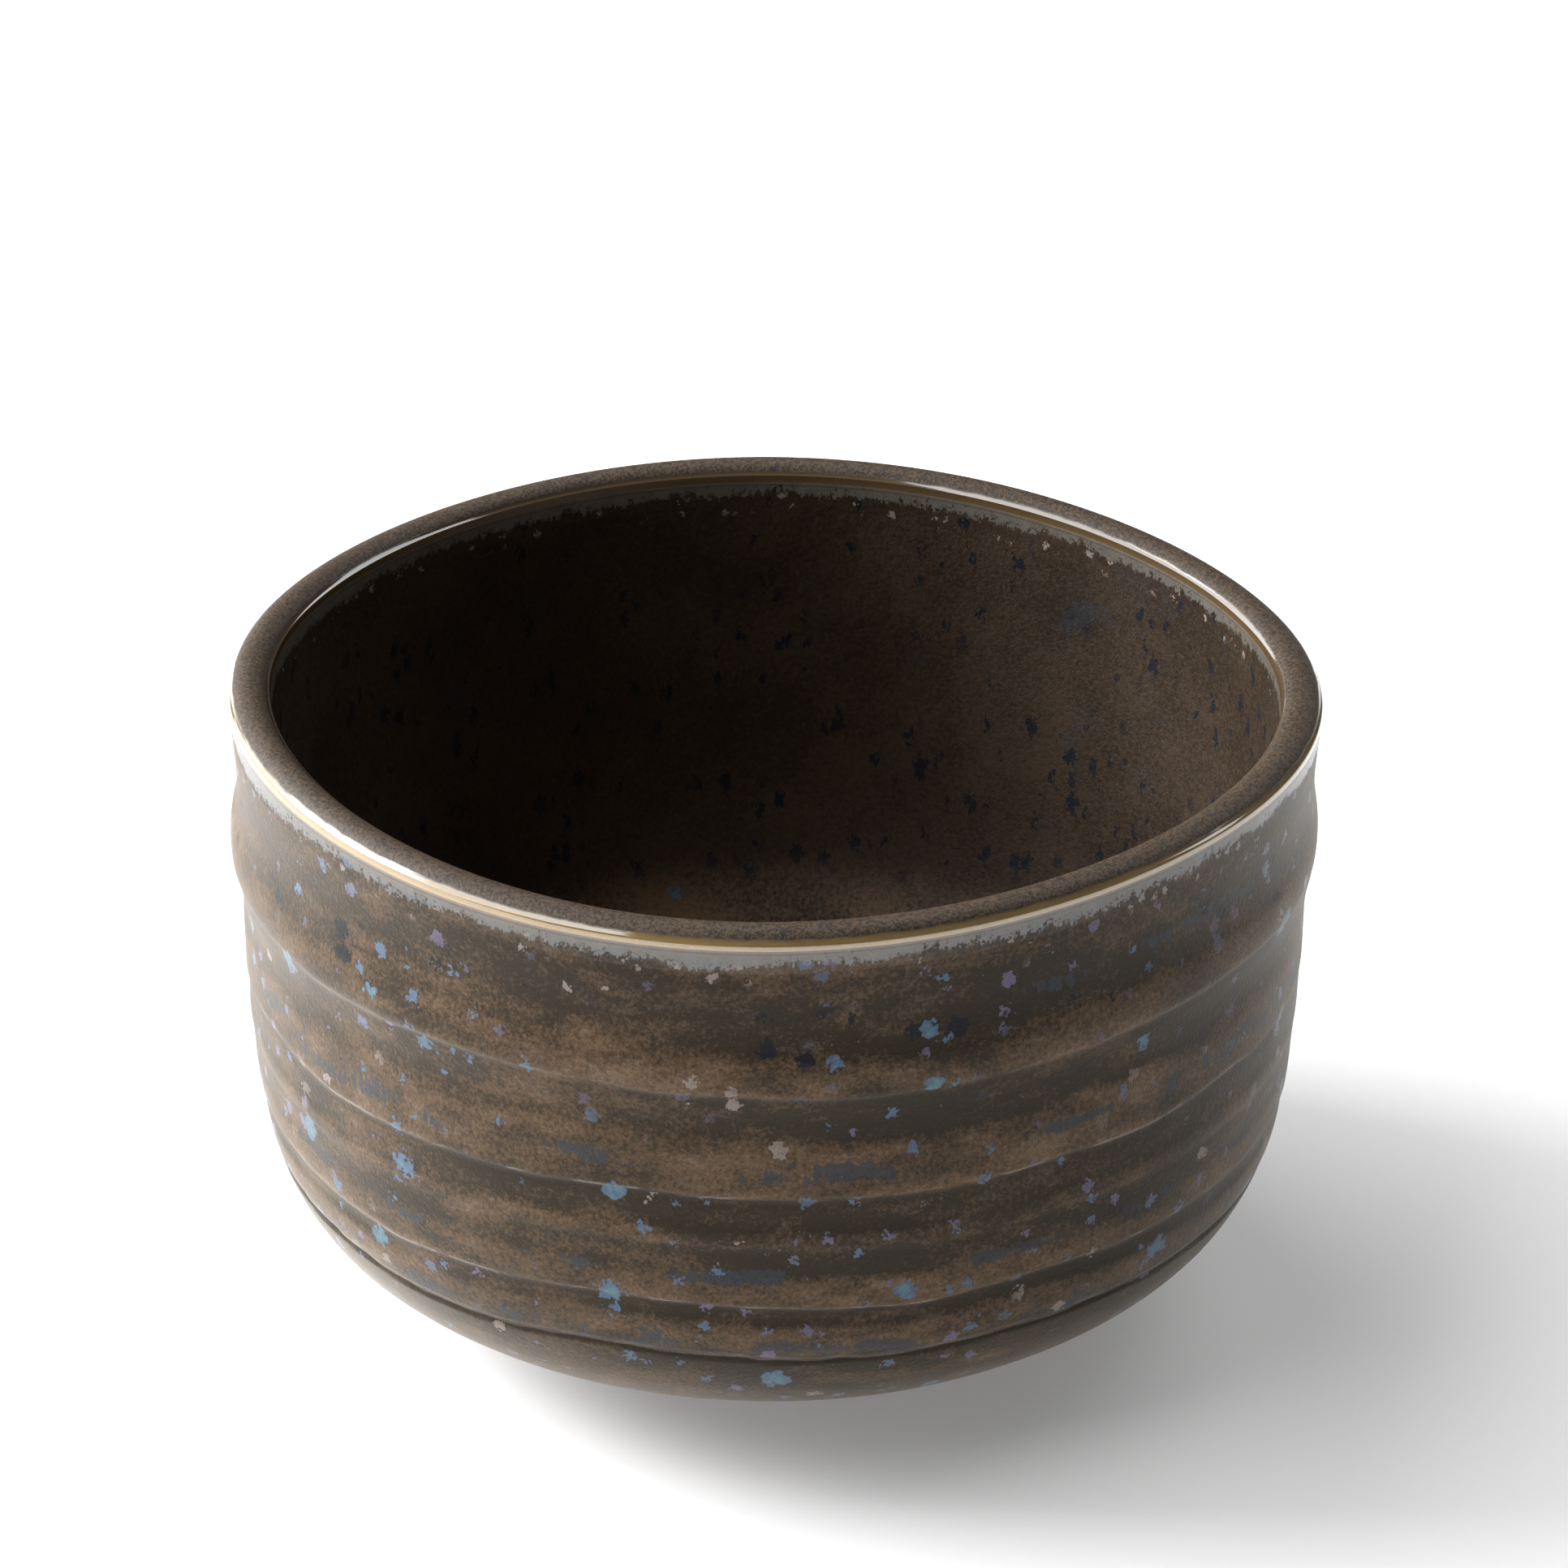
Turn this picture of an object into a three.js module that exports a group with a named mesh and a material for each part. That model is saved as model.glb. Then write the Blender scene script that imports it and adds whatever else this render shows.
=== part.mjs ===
// A thrown stoneware matcha bowl: a clay body standing on its own foot ring, dipped in a
// dark crystalline glaze outside and inside, with a second amber glaze over the lip.
// Units are millimetres, +Z is up, and the foot ring's tread stands on z = 0.
import * as THREE from 'three';

// Sizes of the whole bowl
const RIM_RADIUS = 60;
const RIM_HEIGHT = 73;

// Thickness of every coat of glaze, and the space left between two pieces
const GLAZE = 0.6;
const GAP = 0.3;

// The lip: its thickness, how round it is and how far down the amber coat reaches
const LIP_THICKNESS = 4.6;
const LIP_ROUND = 1.9;
const AMBER_DEPTH = 4.6;

// The foot ring and the shallow well inside it
const FOOT_RADIUS = 33;
const FOOT_WIDTH = 6.2;
const FOOT_CHAMFER = 1.1;
const FLOOR_HEIGHT = 10.6;

// The outer wall as [radius, height], from beside the foot up to just under the lip
const OUTER_WALL = [
  [34.4, 5.0],
  [39.0, 5.7],
  [43.6, 7.2],
  [47.5, 9.3],
  [51.2, 12.1],
  [54.0, 15.3],
  [56.1, 19.5],
  [57.4, 24.8],
  [58.3, 31.5],
  [58.8, 38.5],
  [58.9, 44.5],
  [59.2, 50.0],
  [60.1, 55.5],
  [59.5, 61.5],
  [59.6, 66.0],
];

// The inner wall as [radius, height], from just under the lip down to the floor
const INNER_WALL = [
  [55.3, 64.0],
  [55.2, 57.0],
  [54.7, 48.5],
  [53.7, 39.5],
  [52.1, 30.5],
  [49.0, 22.6],
  [43.0, 16.4],
  [34.0, 12.7],
  [22.0, 11.1],
  [10.0, 10.7],
];

// A bowl turned by hand is a little three-cornered and oval, and its rim tips and waves.
// Each entry: waves round the bowl, size of the wave and the direction of its crest. The
// first list is a share of the radius, the second is millimetres, and both fade downwards.
const ROUNDNESS_WAVES = [
  { count: 2, size: 0.0115, crest: Math.PI / 4 },
  { count: 3, size: 0.0163, crest: 0.318 },
];
const RIM_WAVES = [
  { count: 1, size: 1.4, crest: Math.PI },
  { count: 2, size: 0.5, crest: 1.34 },
  { count: 3, size: 0.7, crest: 1.48 },
];
const ROUNDNESS_FADE = 1.5;
const RIM_FADE = 4.5;

// The turning axis stands beside the origin, so that the widest points are centred
const AXIS_X = -0.47;
const AXIS_Y = 0.66;

// Facets: steps round the bowl, and steps along each stretch of its section
const STEPS_ROUND = 40;
const OUTER_STEPS = 14;
const LIP_STEPS = 6;
const BAND_STEPS = 8;
const INNER_STEPS = 11;
const SEARCH_STEPS = 2000;

function point([radius, height]) {
  return new THREE.Vector2(radius, height);
}

// The lip as a half-round between the two walls
function lipPoints() {
  const half = LIP_THICKNESS / 2;
  const middle = RIM_RADIUS - half;
  const points = [];
  for (let step = 0; step <= LIP_STEPS; step += 1) {
    const angle = (Math.PI * step) / LIP_STEPS;
    const radius = middle + half * Math.cos(angle);
    const height = RIM_HEIGHT - LIP_ROUND + LIP_ROUND * Math.sin(angle);
    points.push(new THREE.Vector2(radius, height));
  }
  return points;
}

// The finished section as one smooth line: outer wall, lip, inner wall, middle of the floor
function finishedLine() {
  const centre = new THREE.Vector2(0, FLOOR_HEIGHT);
  return new THREE.SplineCurve([
    ...OUTER_WALL.map(point),
    ...lipPoints(),
    ...INNER_WALL.map(point),
    centre,
  ]);
}

// The shares of the line's length between which it runs above a height
function sharesAbove(line, height) {
  const shares = Array.from({ length: SEARCH_STEPS + 1 }, (_, i) => i / SEARCH_STEPS);
  const above = shares.filter((share) => line.getPointAt(share).y >= height);
  return [above[0], above[above.length - 1]];
}

// Even stations from one share of the line to another, each with its point and its normal
function stations(line, start, end, steps) {
  const result = [];
  for (let step = 0; step <= steps; step += 1) {
    const share = start + ((end - start) * step) / steps;
    const along = line.getTangentAt(share);
    const inward = new THREE.Vector2(-along.y, along.x);
    result.push({ at: line.getPointAt(share), inward });
  }
  return result;
}

// The stations' points, moved into the wall by a depth; points on the axis stay on it
function sunk(list, depth) {
  return list.map(({ at, inward }) => {
    const moved = at.clone().addScaledVector(inward, depth);
    return new THREE.Vector2(at.x < 1e-6 ? 0 : moved.x, moved.y);
  });
}

// The height of several waves together, in one direction
function sumOfWaves(waves, angle) {
  return waves.reduce(
    (sum, wave) => sum + wave.size * Math.cos(wave.count * (angle - wave.crest)),
    0,
  );
}

// Turn a section round the axis, then give it the unevenness of handwork, which leaves
// the foot flat and the middle of the floor where it is
function turned(section) {
  const geometry = new THREE.LatheGeometry(section, STEPS_ROUND);
  geometry.rotateX(Math.PI / 2);
  const position = geometry.attributes.position;
  for (let i = 0; i < position.count; i += 1) {
    const x = position.getX(i);
    const y = position.getY(i);
    const z = position.getZ(i);
    const angle = Math.atan2(y, x);
    const level = Math.max(z, 0) / RIM_HEIGHT;
    const spread = 1 + sumOfWaves(ROUNDNESS_WAVES, angle) * level ** ROUNDNESS_FADE;
    const reach = Math.min(Math.hypot(x, y) / RIM_RADIUS, 1);
    const rise = sumOfWaves(RIM_WAVES, angle) * reach * level ** RIM_FADE;
    position.setXYZ(i, x * spread + AXIS_X, y * spread + AXIS_Y, z + rise);
  }
  return geometry;
}

function piece(name, section, finish) {
  const mesh = new THREE.Mesh(turned(section), new THREE.MeshStandardMaterial(finish));
  mesh.name = name;
  return mesh;
}

// A coat of glaze: its back against the clay, its cut edge and its face
function coatSection(list) {
  return [...sunk(list, GLAZE).reverse(), ...sunk(list, 0)];
}

function closed(section) {
  return [...section, section[0].clone()];
}

const line = finishedLine();
const halfGap = GAP / 2 / line.getLength();
const [amberOutside, amberInside] = sharesAbove(line, RIM_HEIGHT - AMBER_DEPTH);

const outside = stations(line, 0, amberOutside - halfGap, OUTER_STEPS);
const overLip = stations(line, amberOutside + halfGap, amberInside - halfGap, BAND_STEPS);
const inside = stations(line, amberInside + halfGap, 1, INNER_STEPS);

// The clay wall and floor, sunk under every coat, with a flat base inside the foot ring
const clayWall = sunk([...outside, ...overLip, ...inside], GLAZE + GAP);
const clayBase = clayWall[0].y;
const claySection = [new THREE.Vector2(0, clayBase), ...clayWall];

// The foot ring, with both edges of its tread bevelled
const footTop = clayBase - GAP;
const footInner = FOOT_RADIUS - FOOT_WIDTH;
const footSection = [
  [footInner + FOOT_CHAMFER, 0],
  [FOOT_RADIUS - FOOT_CHAMFER, 0],
  [FOOT_RADIUS, FOOT_CHAMFER],
  [FOOT_RADIUS, footTop],
  [footInner, footTop],
  [footInner, FOOT_CHAMFER],
].map(point);

// The coat on the roof of the foot well
const wellRadius = footInner - GAP;
const wellSection = [
  [0, footTop - GLAZE],
  [wellRadius, footTop - GLAZE],
  [wellRadius, footTop],
  [0, footTop],
].map(point);

const bareClay = { color: 0x7a4a33, roughness: 0.9, metalness: 0 };
const darkGlaze = { color: 0x5a4a3c, roughness: 0.45, metalness: 0 };
const insideGlaze = { color: 0x3d332b, roughness: 0.4, metalness: 0 };
const amberGlaze = { color: 0x8a7548, roughness: 0.2, metalness: 0 };

const bowl = new THREE.Group();
bowl.add(
  piece('clay_body', claySection, bareClay),
  piece('foot_ring', closed(footSection), bareClay),
  piece('outer_glaze', closed(coatSection(outside)), darkGlaze),
  piece('rim_glaze', closed(coatSection(overLip)), amberGlaze),
  piece('inner_glaze', coatSection(inside), insideGlaze),
  piece('foot_well_glaze', wellSection, darkGlaze),
);

export default bowl;
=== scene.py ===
"""A thrown stoneware matcha bowl: glazed outside and inside, with a second glaze on the lip.

Each coat is a closed section turned round the bowl's axis by one Geometry Nodes tree, which
also presses in the throwing marks and the unevenness of handwork. Lengths in the script are
metres; the materials work in millimetres on Object coordinates.
"""

from math import cos, pi, radians, sin

import bpy
from bpy.props import FloatProperty, FloatVectorProperty, IntProperty, PointerProperty
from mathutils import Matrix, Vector


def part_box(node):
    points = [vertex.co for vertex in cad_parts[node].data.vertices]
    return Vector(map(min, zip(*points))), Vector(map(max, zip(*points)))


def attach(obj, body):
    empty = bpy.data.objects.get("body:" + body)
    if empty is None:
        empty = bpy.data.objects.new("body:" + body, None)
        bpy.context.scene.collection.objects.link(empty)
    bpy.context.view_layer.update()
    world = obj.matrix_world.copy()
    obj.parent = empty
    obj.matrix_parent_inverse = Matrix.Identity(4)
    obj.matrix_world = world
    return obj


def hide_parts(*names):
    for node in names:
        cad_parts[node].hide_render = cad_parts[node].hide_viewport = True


bl_info = {
    "name": "Matcha Bowl",
    "version": (1, 0, 0),
    "blender": (4, 5, 0),
    "location": "View3D > Sidebar > Matcha Bowl",
    "description": "Builds a hand-thrown matcha bowl with its coats of glaze",
    "category": "Add Mesh",
}

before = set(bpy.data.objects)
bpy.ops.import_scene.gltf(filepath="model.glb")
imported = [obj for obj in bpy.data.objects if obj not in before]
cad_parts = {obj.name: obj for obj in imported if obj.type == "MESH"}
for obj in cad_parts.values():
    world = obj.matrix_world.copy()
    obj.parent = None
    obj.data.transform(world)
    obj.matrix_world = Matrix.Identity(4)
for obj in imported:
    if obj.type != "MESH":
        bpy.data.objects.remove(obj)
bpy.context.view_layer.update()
MM = 0.001

# The foot ring stands round the turning axis, so its box gives the axis and the foot's sizes
FOOT_LOW, FOOT_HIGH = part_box("foot_ring")
WELL_LOW, WELL_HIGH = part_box("foot_well_glaze")
CLAY_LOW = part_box("clay_body")[0]

# The outer wall as (radius, height) in millimetres, from beside the foot to under the lip
OUTER_WALL = (
    (34.4, 5.0),
    (39.0, 5.7),
    (43.6, 7.2),
    (47.5, 9.3),
    (51.2, 12.1),
    (54.0, 15.3),
    (56.1, 19.5),
    (57.4, 24.8),
    (58.3, 31.5),
    (58.8, 38.5),
    (58.9, 44.5),
    (59.2, 50.0),
    (60.1, 55.5),
    (59.5, 61.5),
    (59.6, 66.0),
)

# The inner wall as (radius, height) in millimetres, from under the lip to near the middle
INNER_WALL = (
    (55.3, 64.0),
    (55.2, 57.0),
    (54.7, 48.5),
    (53.7, 39.5),
    (52.1, 30.5),
    (49.0, 22.6),
    (43.0, 16.4),
    (34.0, 12.7),
    (22.0, 11.1),
    (10.0, 10.7),
)

# Marks of the throwing fingers on the outside: height in millimetres, how far the wall
# stands out (-1 to 1), and how coppery the glaze breaks there (0 to 1)
THROWING_MARKS = (
    (5.0, 0.0, 0.45),
    (11.6, 0.0, 0.50),
    (16.5, 0.0, 0.48),
    (18.3, 0.0, 0.15),
    (20.8, 0.1, 0.45),
    (22.6, 0.5, 0.72),
    (24.6, 0.1, 0.55),
    (25.6, -0.6, 0.15),
    (26.7, -0.7, 0.20),
    (27.5, 0.7, 0.75),
    (29.5, 0.6, 0.78),
    (32.1, -0.1, 0.22),
    (34.2, -0.2, 0.20),
    (35.4, 0.3, 0.60),
    (37.2, -0.2, 0.25),
    (40.8, -0.7, 0.15),
    (41.7, 0.8, 0.78),
    (45.0, 0.7, 0.82),
    (48.2, 0.0, 0.60),
    (49.8, -0.4, 0.18),
    (53.8, -0.6, 0.15),
    (54.8, 0.5, 0.72),
    (57.0, 0.5, 0.75),
    (59.8, -0.1, 0.32),
    (64.0, -0.2, 0.22),
    (68.0, 0.0, 0.30),
)

# Heights in millimetres of the sharp ledges that catch a pale line, and of the cut groove
LEDGES = (41.3, 27.1)
GROOVE = 19.9

# The marks' curves run over this many millimetres of height. The relief has faded out where
# the outside and lip coats meet, so that they meet flush.
MARKS_SPAN = 80.0
JOINT = 68.4
JOINT_FADE = 2.0

# Waves of the hand-turned shape: waves round the bowl, size and direction of the crest.
# Roundness is a share of the radius and the rim is in metres; both fade downwards.
ROUNDNESS_WAVES = ((2, 0.0115, pi / 4), (3, 0.0163, 0.318))
RIM_WAVES = ((1, 1.4 * MM, pi), (2, 0.5 * MM, 1.34), (3, 0.7 * MM, 1.48))
ROUNDNESS_FADE = 1.5
RIM_FADE = 4.5


def length(name, description, default, **more):
    """A property that holds a length in metres."""
    return FloatProperty(
        name=name,
        description=description,
        default=default,
        subtype="DISTANCE",
        unit="LENGTH",
        precision=5,
        **more,
    )


def colour(name, description, default):
    """A property that holds a colour."""
    return FloatVectorProperty(
        name=name, description=description, default=default, subtype="COLOR", min=0, max=1
    )


def light_power(name, description, default):
    """A property that holds the power of a light in watts."""
    return FloatProperty(name=name, description=description, default=default, unit="POWER")


class BowlSizes(bpy.types.PropertyGroup):
    rim_radius: length("Rim Radius", "Radius over the lip", 60 * MM)
    rim_height: length("Rim Height", "Height of the lip", 73 * MM)
    lip_thickness: length("Lip Thickness", "Thickness of the wall at the lip", 4.6 * MM)
    lip_round: length("Lip Round", "Height of the lip's half-round", 1.9 * MM)
    rim_coat: length("Rim Coat", "How far the lip's own glaze reaches down", 4.6 * MM)
    floor_height: length("Floor Height", "Height of the inner floor's middle", 10.6 * MM)
    glaze: length("Glaze", "Thickness of a coat of glaze", WELL_HIGH.z - WELL_LOW.z)
    foot_radius: length("Foot Radius", "Outer radius of the foot", (FOOT_HIGH.x - FOOT_LOW.x) / 2)
    foot_width: length("Foot Width", "Width of the foot ring", 6.2 * MM)
    foot_bevel: length("Foot Bevel", "Bevel along the tread", 1.1 * MM)
    ridges: length("Ridges", "Height of the throwing ridges", 0.42 * MM)
    swell: length("Swell", "Height of the wall's slow unevenness", 0.22 * MM)
    groove: length("Groove", "Depth of the line cut near the base", 0.38 * MM)
    steps: IntProperty(name="Steps", description="Steps round the bowl", default=400, min=24)
    seed: IntProperty(name="Seed", description="Choice of unevenness", default=4)


class GlazeColours(bpy.types.PropertyGroup):
    olive: colour("Olive", "Glaze lying thick in the hollows", (0.0235, 0.0165, 0.0088))
    copper: colour("Copper", "Glaze breaking over the ridges", (0.089, 0.055, 0.030))
    tan: colour("Tan", "Driest grains on the ridges", (0.165, 0.112, 0.072))
    slate: colour("Slate", "Feathery clouds of crystals", (0.029, 0.037, 0.046))
    blue: colour("Blue", "Blue crystals", (0.074, 0.115, 0.175))
    violet: colour("Violet", "Violet crystals", (0.108, 0.094, 0.150))
    turquoise: colour("Turquoise", "Hearts of the large crystals", (0.080, 0.155, 0.180))
    ash: colour("Ash", "Pale pinkish crystals and ledge lines", (0.205, 0.170, 0.150))
    amber: colour("Amber", "The lip's glaze where it runs thin", (0.25, 0.165, 0.065))
    halo: colour("Halo", "Edge of the lip's glaze", (0.122, 0.120, 0.112))
    umber: colour("Umber", "Glaze on the inside", (0.048, 0.031, 0.019))
    soot: colour("Soot", "Iron specks", (0.008, 0.009, 0.013))
    clay: colour("Clay", "Fired clay", (0.24, 0.115, 0.065))


class StudioSettings(bpy.types.PropertyGroup):
    lens: FloatProperty(name="Lens", description="Focal length", default=139.56, unit="CAMERA")
    power: light_power("Power", "Power of the wide softbox", 132)
    key: light_power("Key", "Power of the small softbox", 74)
    rear: light_power("Rear", "Power of the weak rear softbox", 15)
    softbox: length("Softbox", "Width of the wide softbox", 4.2)
    fill: FloatProperty(name="Fill", description="Strength of the light all round", default=0.045)
    floor: length("Floor", "Width of the floor", 6.0)
    glow: FloatProperty(name="Glow", description="Light through the white table", default=0.20)


class NodeWriter:
    """Adds nodes to one tree, linking every socket it is handed and setting every value."""

    def __init__(self, tree):
        self.tree = tree

    def add(self, kind, inputs=None, **settings):
        node = self.tree.nodes.new(kind)
        for name, value in settings.items():
            setattr(node, name, value)
        for key, value in (inputs or {}).items():
            self.feed(node.inputs[key], value)
        return node

    def feed(self, socket, value):
        if isinstance(value, bpy.types.NodeSocket):
            self.tree.links.new(value, socket)
        else:
            socket.default_value = value

    def math(self, operation, first, second=0.0, third=0.0):
        inputs = {0: first, 1: second, 2: third}
        node = self.add("ShaderNodeMath", inputs, operation=operation)
        return node.outputs[0]

    def total(self, *terms):
        result = terms[0]
        for term in terms[1:]:
            result = self.math("ADD", result, term)
        return result

    def vector_math(self, operation, first, second):
        node = self.add("ShaderNodeVectorMath", {0: first, 1: second}, operation=operation)
        return node.outputs[0]

    def step(self, value, low, high):
        """0 below one value, 1 above another, and smooth between them."""
        inputs = {"Value": value, "From Min": low, "From Max": high}
        node = self.add("ShaderNodeMapRange", inputs, interpolation_type="SMOOTHSTEP")
        return node.outputs[0]

    def near(self, value, middle, reach, soft):
        """1 close to a value and 0 away from it."""
        away = self.math("ABSOLUTE", self.math("SUBTRACT", value, middle))
        return self.step(away, reach + soft, reach)

    def mix(self, factor, first, second):
        inputs = {0: factor, 6: first, 7: second}
        return self.add("ShaderNodeMix", inputs, data_type="RGBA").outputs[2]

    def blend(self, factor, first, second):
        inputs = {0: factor, 2: first, 3: second}
        return self.add("ShaderNodeMix", inputs, data_type="FLOAT").outputs[0]

    def noise(self, place, scale, detail=2.0, roughness=0.5, seed=0.0):
        inputs = {"Vector": place, "W": seed, "Scale": scale, "Detail": detail}
        inputs["Roughness"] = roughness
        return self.add("ShaderNodeTexNoise", inputs, noise_dimensions="4D")

    def swing(self, place, scale, size, detail=2.0, roughness=0.5, seed=0.0):
        """A noise that swings either side of zero by about a size."""
        noise = self.noise(place, scale, detail, roughness, seed).outputs["Fac"]
        return self.math("MULTIPLY", self.math("SUBTRACT", noise, 0.5), 2 * size)

    def curve(self, value, points):
        """A smooth line through (value, result) points, all from 0 to 1."""
        node = self.add("ShaderNodeFloatCurve", {"Value": value})
        line = node.mapping.curves[0]
        line.points[0].location = points[0]
        line.points[1].location = points[-1]
        for point in points[1:-1]:
            line.points.new(*point)
        node.mapping.update()
        return node.outputs[0]


# ---------------------------------------------------------------- sections


def smooth_line(points, spacing):
    """Points at even spacing along a smooth curve through the given (radius, height) points."""
    points = [Vector(point) for point in points]
    fine = []
    for i in range(len(points) - 1):
        before = points[max(i - 1, 0)]
        start, end = points[i], points[i + 1]
        after = points[min(i + 2, len(points) - 1)]
        for step in range(60):
            fine.append(catmull_rom(before, start, end, after, step / 60))
    fine.append(points[-1])
    return evenly(fine, spacing)


def catmull_rom(before, start, end, after, t):
    slope_start = (end - before) * 0.5
    slope_end = (after - start) * 0.5
    cubic = (2 * start - 2 * end + slope_start + slope_end) * t**3
    square = (-3 * start + 3 * end - 2 * slope_start - slope_end) * t**2
    return cubic + square + slope_start * t + start


def evenly(points, spacing):
    """The line through the points, walked in even steps of about the spacing."""
    lengths = [0.0]
    for here, there in zip(points, points[1:]):
        lengths.append(lengths[-1] + (there - here).length)
    count = max(2, round(lengths[-1] / spacing))
    walked, i = [], 0
    for step in range(count + 1):
        target = lengths[-1] * step / count
        while i < len(points) - 2 and lengths[i + 1] < target:
            i += 1
        share = (target - lengths[i]) / max(lengths[i + 1] - lengths[i], 1e-12)
        walked.append(points[i].lerp(points[i + 1], min(share, 1.0)))
    return walked


def lip_points(sizes):
    """The lip as a half-round between the two walls."""
    half = sizes.lip_thickness / 2
    middle = sizes.rim_radius - half
    base = sizes.rim_height - sizes.lip_round
    angles = [pi * step / 6 for step in range(7)]
    return [(middle + half * cos(a), base + sizes.lip_round * sin(a)) for a in angles]


def finished_line(sizes):
    """The bowl's finished surface in section: outer wall, lip, inner wall, middle of the floor."""
    outer = [(radius * MM, height * MM) for radius, height in OUTER_WALL]
    inner = [(radius * MM, height * MM) for radius, height in INNER_WALL]
    middle = [(0.0, sizes.floor_height)]
    return smooth_line(outer + lip_points(sizes) + inner + middle, 0.02 * MM)


def split_at_rim_coat(line, sizes):
    """The finished line in three: outside, over the lip and inside, with shared ends."""
    edge = sizes.rim_height - sizes.rim_coat
    above = [i for i, point in enumerate(line) if point.y >= edge]
    first, last = above[0], above[-1]
    return line[: first + 1], line[first : last + 1], line[last:]


def inward(line):
    """The direction into the clay at each point of a line."""
    result = []
    for i in range(len(line)):
        along = line[min(i + 1, len(line) - 1)] - line[max(i - 1, 0)]
        result.append(Vector((-along.y, along.x)).normalized())
    return result


def coat_section(part, spacing, depth, bead=False):
    """A coat's outline as (point, outward, on the face), its face first and then its back."""
    face = evenly(part, spacing)
    back = evenly(part, spacing * 12)
    section = []
    for point, into in zip(face, inward(face)):
        section.append((point, -into, 1.0))
    for point, into in reversed(list(zip(back, inward(back)))):
        section.append((point + into * depth, -into, 0.0))
    if bead:
        section.extend(bead_points(face[0], inward(face)[0], face[1] - face[0], depth))
    if part[-1].x > 1e-6:
        return section
    # A coat that reaches the axis starts there with its back and ends there with its face
    section = section[len(face) :] + section[: len(face)]
    for i in (0, -1):
        point, outward, on_face = section[i]
        section[i] = (Vector((0.0, point.y)), outward, on_face)
    return section


def bead_points(edge, into, along, depth):
    """The rounded roll in which a coat of glaze stops."""
    away = -along.normalized()
    middle = edge + into * (depth / 2)
    points = []
    for step in range(1, 6):
        angle = pi * step / 6
        offset = into * (cos(angle) * depth / 2) + away * (sin(angle) * depth / 2)
        points.append((middle + offset, away, 0.0))
    return points


def plain_section(points, spacing):
    """A foot or well outline: straight runs, cut finely enough to carry turning marks."""
    points = [Vector(point) for point in points]
    section = []
    for here, there in zip(points, points[1:]):
        run = evenly([here, there], spacing)[:-1]
        along = (there - here).normalized()
        outward = Vector((along.y, -along.x))
        section.extend((point, outward, 1.0) for point in run)
    section.append((points[-1], Vector((0.0, 1.0)), 1.0))
    return section


# ---------------------------------------------------------------- turning


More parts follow.
